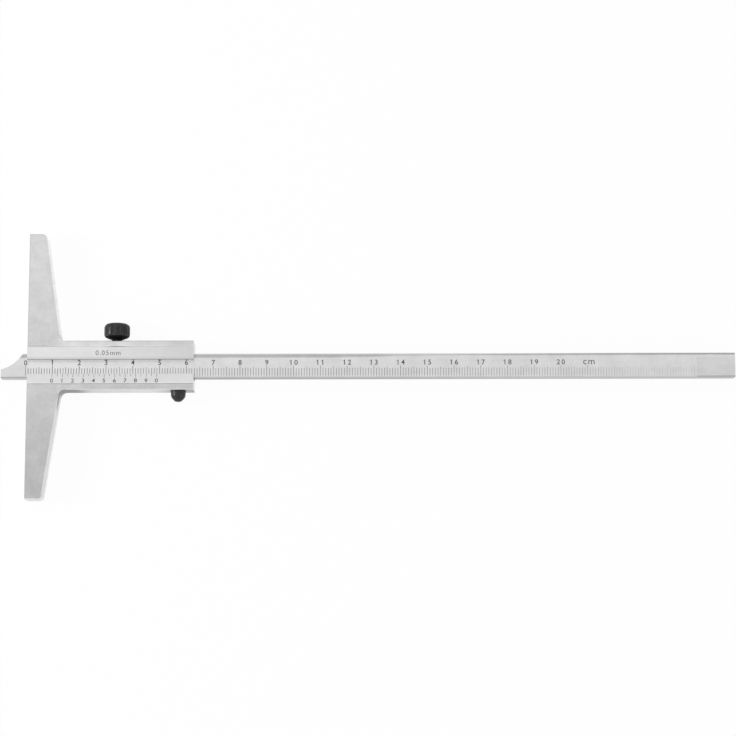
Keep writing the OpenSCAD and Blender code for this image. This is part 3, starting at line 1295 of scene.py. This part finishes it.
@dataclass(frozen=True)
class LockKnob:
    """The fluted plastic knob, in millimetres. The hub and each ring are given as height and radius."""

    flutes: int = 12
    columns: int = 8
    flute_depth: float = 0.5
    flute_shape: tuple[float, ...] = (1.0, 0.72)
    fullness: float = 1.02
    hub: tuple[Span, ...] = (
        (0.0, 1.74), (0.28, 1.76), (0.48, 1.90), (0.62, 2.20), (0.76, 2.62), (0.92, 3.05), (1.08, 3.42), (1.20, 3.68),
    )
    head_bottom: float = 1.25
    inner_round: float = 1.2
    inner_steps: int = 4
    outer_round: float = 1.5
    outer_steps: int = 5
    side_rings: int = 2
    bore_radius: float = 1.55
    bore_depth: float = 4.9
    dish_radius: float = 2.4
    dish_depth: float = 0.25
    dish_centre: float = 0.5
    crown: float = 0.2
    edge_break: float = 0.07
    edge_deg: float = 32.0
    smooth_deg: float = 40.0
    matt_height: float = 1.75
    matt_lean: float = 0.2

    def build(self) -> None:
        """Makes the knob and puts it on the stem."""
        seat = Seat.of("lock_knob")
        radius = seat.radius * self.fullness
        height = seat.length + self.crown
        head = self._head(radius, height)
        knob = TurnedPiece("fluted_lock_knob", self.flutes * self.columns, [
            *self.hub,
            *head,
            (height, self.dish_radius + self.dish_depth),
            (height - self.dish_depth, self.dish_radius),
            (height - self.dish_depth, self.dish_centre),
        ])
        for z, r in head:
            self._press_flutes(knob, z, r, radius)
        knob.bore(self.bore_radius, self.bore_depth)
        knob.modify("BEVEL", width=self.edge_break, segments=2, limit_method="ANGLE",
                    angle_limit=math.radians(self.edge_deg))
        piece = knob.settle(seat.place, self.smooth_deg)
        fit(piece, BLACK_PLASTIC.material(), "lock_screw", "lock_knob")
        # Faces low on the hub that look to the housing get the darker, duller plastic as painted shade.
        piece.data.materials.append(SHADED_UNDERSIDE_PLASTIC.material())
        shade_y = seat.place.translation.y + self.matt_height * MM
        for face in piece.data.polygons:
            face.material_index = int(face.center.y < shade_y and face.normal.y < -self.matt_lean)

    def _head(self, radius: float, height: float) -> list[Span]:
        """Lists the head's rings, from its lower rounding to its upper one.

        Args:
            radius: The head's full radius.
            height: The knob's height.

        Returns:
            Heights and radii, upwards.
        """
        low = self.head_bottom + self.inner_round
        gap = (height - self.outer_round - low) / (self.side_rings + 1)
        return [
            *quarter_round(self.head_bottom, radius, self.inner_round, self.inner_steps, top=False)[1:],
            *((low + gap * (i + 1), radius) for i in range(self.side_rings)),
            *quarter_round(height, radius, self.outer_round, self.outer_steps, top=True),
        ]

    def _press_flutes(self, knob: TurnedPiece, z: float, r: float, radius: float) -> None:
        """Presses the flutes into one ring of points.

        Args:
            knob: The knob.
            z: The ring's height.
            r: The ring's radius.
            radius: The head's full radius.
        """
        turn = 2 * math.pi / (self.flutes * self.columns)
        half = self.columns // 2
        for off, share in enumerate(self.flute_shape):
            floor_r = radius - self.flute_depth * share
            if r <= floor_r:
                continue

            def in_flute(at: Vector, normal: Vector, off: int = off) -> bool:
                """Takes the ring's points at this distance from a flute's middle."""
                column = round(math.atan2(at.y, at.x) / turn) % self.columns
                return abs(at.z - z) < CLOSE and abs(at.xy.length - r) < CLOSE and abs(column - half) == off

            with knob.editing(Pick.VERT, in_flute):
                bpy.ops.transform.resize(value=(floor_r / r, floor_r / r, 1), center_override=(0, 0, 0))


@dataclass(frozen=True)
class ThreadedStem:
    """The lock screw: a stem with a cut thread, and the spigot of its thrust pad, in millimetres."""

    pitch: float = 0.5
    thread_depth: float = 0.28
    around: int = 24
    rings_per_turn: int = 6
    plain_end: float = 4.0
    spigot_radius: float = 0.8
    spigot_length: float = 0.6
    smooth_deg: float = 50.0

    def build(self) -> None:
        """Makes the stem and puts it in the bridge."""
        seat = Seat.of("lock_screw")
        start = self.spigot_length
        length = seat.length - start
        stem = Workpiece("threaded_lock_screw", bpy.ops.mesh.primitive_cylinder_add, vertices=self.around,
                         radius=seat.radius, depth=length, location=(0, 0, start + length / 2))
        rings = round(length / self.pitch * self.rings_per_turn)
        with stem.editing(Pick.EDGE, upright):
            bpy.ops.mesh.subdivide(number_cuts=rings - 1)
        self._cut_thread(stem, seat.radius, start + length - self.plain_end)
        with stem.editing(Pick.FACE, lambda at, normal: at.z < start + CLOSE):
            bpy.ops.mesh.inset(thickness=seat.radius - self.thread_depth / 2 - self.spigot_radius, depth=0)
            bpy.ops.mesh.extrude_region_move(TRANSFORM_OT_translate={"value": (0, 0, -self.spigot_length)})
        piece = stem.settle(seat.place, self.smooth_deg)
        fit(piece, SCREW_STEEL.material(), "lock_screw", "lock_screw")

    def _cut_thread(self, stem: Workpiece, radius: float, end_z: float) -> None:
        """Pushes the wall in along a helix.

        Args:
            stem: The stem, divided into rings.
            radius: Its outer radius.
            end_z: Where the thread runs out.
        """
        for vert in stem.obj.data.vertices:
            turns = vert.co.z / self.pitch - math.atan2(vert.co.y, vert.co.x) / (2 * math.pi)
            crest = abs(2 * (turns % 1.0) - 1)
            run_out = min(1.0, max(0.0, (end_z - vert.co.z) / self.pitch))
            share = 1 - self.thread_depth * (1 - crest) * run_out / radius
            vert.co.x *= share
            vert.co.y *= share


@dataclass(frozen=True)
class ThumbButton:
    """The black button under the housing's rear end, in millimetres: a thin flange, a round body and a blunt cone.

    The profile lists heights and radii. It is stretched to the node's length and the tip that it lacks.
    """

    around: int = 48
    profile: tuple[Span, ...] = (
        (0.0, 2.84), (0.06, 2.90), (0.50, 2.90), (0.57, 2.84), (0.63, 2.77), (1.20, 2.76), (1.70, 2.72), (2.00, 2.65),
        (2.25, 2.54), (2.50, 2.38), (2.72, 2.20), (3.10, 1.85), (3.50, 1.43), (3.66, 1.24), (3.76, 1.05), (3.81, 0.85),
    )
    tip: float = 0.2
    dimple_radius: float = 0.42
    dimple_depth: float = 0.08
    stud_radius: float = 1.3
    stud_bore: float = 1.95
    smooth_deg: float = 30.0

    def build(self) -> None:
        """Makes the button and puts it on its stud."""
        seat = Seat.of("thumb_button", down=True)
        top = seat.length + self.tip
        button = TurnedPiece("domed_thumb_button", self.around, [
            *((z * top / self.profile[-1][0], r) for z, r in self.profile),
            (top, self.dimple_radius),
            (top - self.dimple_depth, self.dimple_radius - self.dimple_depth),
        ])
        button.bore(self.stud_radius, self.stud_bore)
        piece = button.settle(seat.place, self.smooth_deg)
        fit(piece, GLOSSY_PLASTIC.material(), "bridge", "thumb_button")


# --- Pieces that the frame brings ------------------------------------------------------------------------------------


class Metalwork:
    """The steel and bronze pieces that keep the frame's own shapes and only get a finish."""

    FINISHES: Mapping[str, SatinSteel | TurnedMetal] = {
        "bridge_frame": BRIDGE_STEEL,
        "upper_guide_strip": STRIP_STEEL,
        "vernier_strip": STRIP_STEEL,
        "beam": BEAM_STEEL,
        "guide_strip_screws": SCREW_STEEL,
        "vernier_strip_screws": SCREW_STEEL,
        "gib_set_screws": SCREW_STEEL,
        "thumb_button_stud": SCREW_STEEL,
        "gib_strip": GIB_BRONZE,
        "lock_thrust_pad": GIB_BRONZE,
    }

    def build(self) -> None:
        """Dresses each node, with one material for each finish."""
        made = {finish.name: finish.material() for finish in self.FINISHES.values()}
        for node, finish in self.FINISHES.items():
            dress(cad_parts[node], made[finish.name])
            log.info("%s has the finish %s", node, finish.name)


# --- Studio ----------------------------------------------------------------------------------------------------------


@dataclass(frozen=True)
class Softbox:
    """One square lamp, aimed at the housing. Lengths are in metres, power in watts."""

    name: str
    at: tuple[float, float, float]
    size: float
    power: float

    def hang(self, aim: Vector) -> None:
        """Hangs the lamp.

        Args:
            aim: The point that it faces.
        """
        lamp = bpy.data.lights.new(self.name, "AREA")
        lamp.size = self.size
        lamp.energy = self.power
        obj = bpy.data.objects.new(self.name, lamp)
        bpy.context.scene.collection.objects.link(obj)
        obj.location = self.at
        obj.rotation_euler = (aim - obj.location).to_track_quat("-Z", "Y").to_euler()
        obj.visible_camera = False


@dataclass(frozen=True)
class Studio:
    """A pale floor, soft light and the camera over the gauge. Lengths are in metres."""

    floor_size: float = 8.0
    floor_drop: float = 0.00005
    floor_tone: float = 0.95
    floor_white: float = 0.94
    floor_white_in_metal: float = 0.6
    floor_cuts: int = 3
    paper_mm: float = 90.0
    paper_share: float = 0.01
    sky: float = 0.72
    lamps: tuple[Softbox, ...] = (
        Softbox("upper_softbox", (-0.105, 0.175, 0.30), 0.25, 0.1),
        Softbox("left_softbox", (-0.75, 0.0, 0.40), 0.2, 2.9),
        Softbox("right_softbox", (0.80, -0.34, 0.45), 0.2, 0.6),
    )
    aim: tuple[float, float, float] = (0.03, 0.0, 0.0)
    camera_at: tuple[float, float, float] = (0.11935, -0.13225, 0.79387)
    camera_turn_deg: tuple[float, float, float] = (9.45, -0.539, -0.109)
    lens_mm: float = 104.4
    sensor_mm: float = 36.0
    shift: Span = (0.0008, 0.0007)
    clip_start: float = 0.01

    def build(self) -> None:
        """Sets everything round the gauge."""
        self._floor()
        self._world()
        for lamp in self.lamps:
            lamp.hang(Vector(self.aim))
        self._camera()
        bpy.context.scene.view_settings.view_transform = "Standard"

    def _white_share(self, recipe: Recipe, direct: float, mirrored: float) -> Tap:
        """How white a ray finds the surroundings.

        Args:
            recipe: The finish that asks.
            direct: The share for the camera itself.
            mirrored: The share for what metal and glass show.

        Returns:
            The share.
        """
        camera, glossy, through = (
            recipe.node("ShaderNodeLightPath", out=ray)
            for ray in ("Is Camera Ray", "Is Glossy Ray", "Is Transmission Ray")
        )
        return camera * direct + ((glossy + through) > 0.0) * mirrored

    def _floor(self) -> None:
        """Lays a matt white floor that keeps a faint shadow."""
        floor = Workpiece("studio_floor", bpy.ops.mesh.primitive_plane_add, size=self.floor_size / MM)
        with floor.editing(Pick.FACE, everything):
            bpy.ops.mesh.subdivide(number_cuts=self.floor_cuts)
        r = Recipe.for_material("studio_floor")
        paper = self.floor_tone + r.noise(self.paper_mm).swing(self.paper_share)
        matt = r.node("ShaderNodeBsdfDiffuse", {}, {"Color": r.grey(paper)})
        white = r.node("ShaderNodeEmission", {}, {"Color": (1, 1, 1, 1), "Strength": 1.0})
        share = self._white_share(r, self.floor_white, self.floor_white_in_metal)
        material = r.show(r.node("ShaderNodeMixShader", {}, {0: share, 1: matt, 2: white}))
        dress(floor.settle(Matrix.Translation((0, 0, -self.floor_drop))), material)

    def _world(self) -> None:
        """Lights evenly from all sides, on a white background."""
        bpy.context.scene.world = bpy.data.worlds.new("studio_world")
        r = Recipe(bpy.context.scene.world)
        light = r.node("ShaderNodeBackground", {}, {"Color": (1, 1, 1, 1), "Strength": self.sky})
        white = r.node("ShaderNodeBackground", {}, {"Color": (1, 1, 1, 1), "Strength": 1.0})
        r.show(r.node("ShaderNodeMixShader", {}, {0: self._white_share(r, 1.0, 1.0), 1: light, 2: white}))

    def _camera(self) -> None:
        """Puts the camera over the gauge, tipped a little up the picture."""
        data = bpy.data.cameras.new("camera")
        data.sensor_width = self.sensor_mm
        data.lens = self.lens_mm
        data.shift_x, data.shift_y = self.shift
        data.clip_start = self.clip_start
        camera = bpy.data.objects.new("camera", data)
        bpy.context.scene.collection.objects.link(camera)
        camera.rotation_mode = "ZYX"
        camera.rotation_euler = [math.radians(turn) for turn in self.camera_turn_deg]
        camera.location = self.camera_at
        bpy.context.scene.camera = camera


def main() -> None:
    """Builds every sub-assembly in order."""
    logging.basicConfig(level=logging.INFO, format="%(name)s: %(message)s")
    parts = (Metalwork(), BeamScale(), VernierScale(), GuideStripMark(), LockKnob(), ThreadedStem(), ThumbButton(),
             Studio())
    for part in parts:
        log.info("building %s", type(part).__name__)
        part.build()


if __name__ == "__main__":
    main()
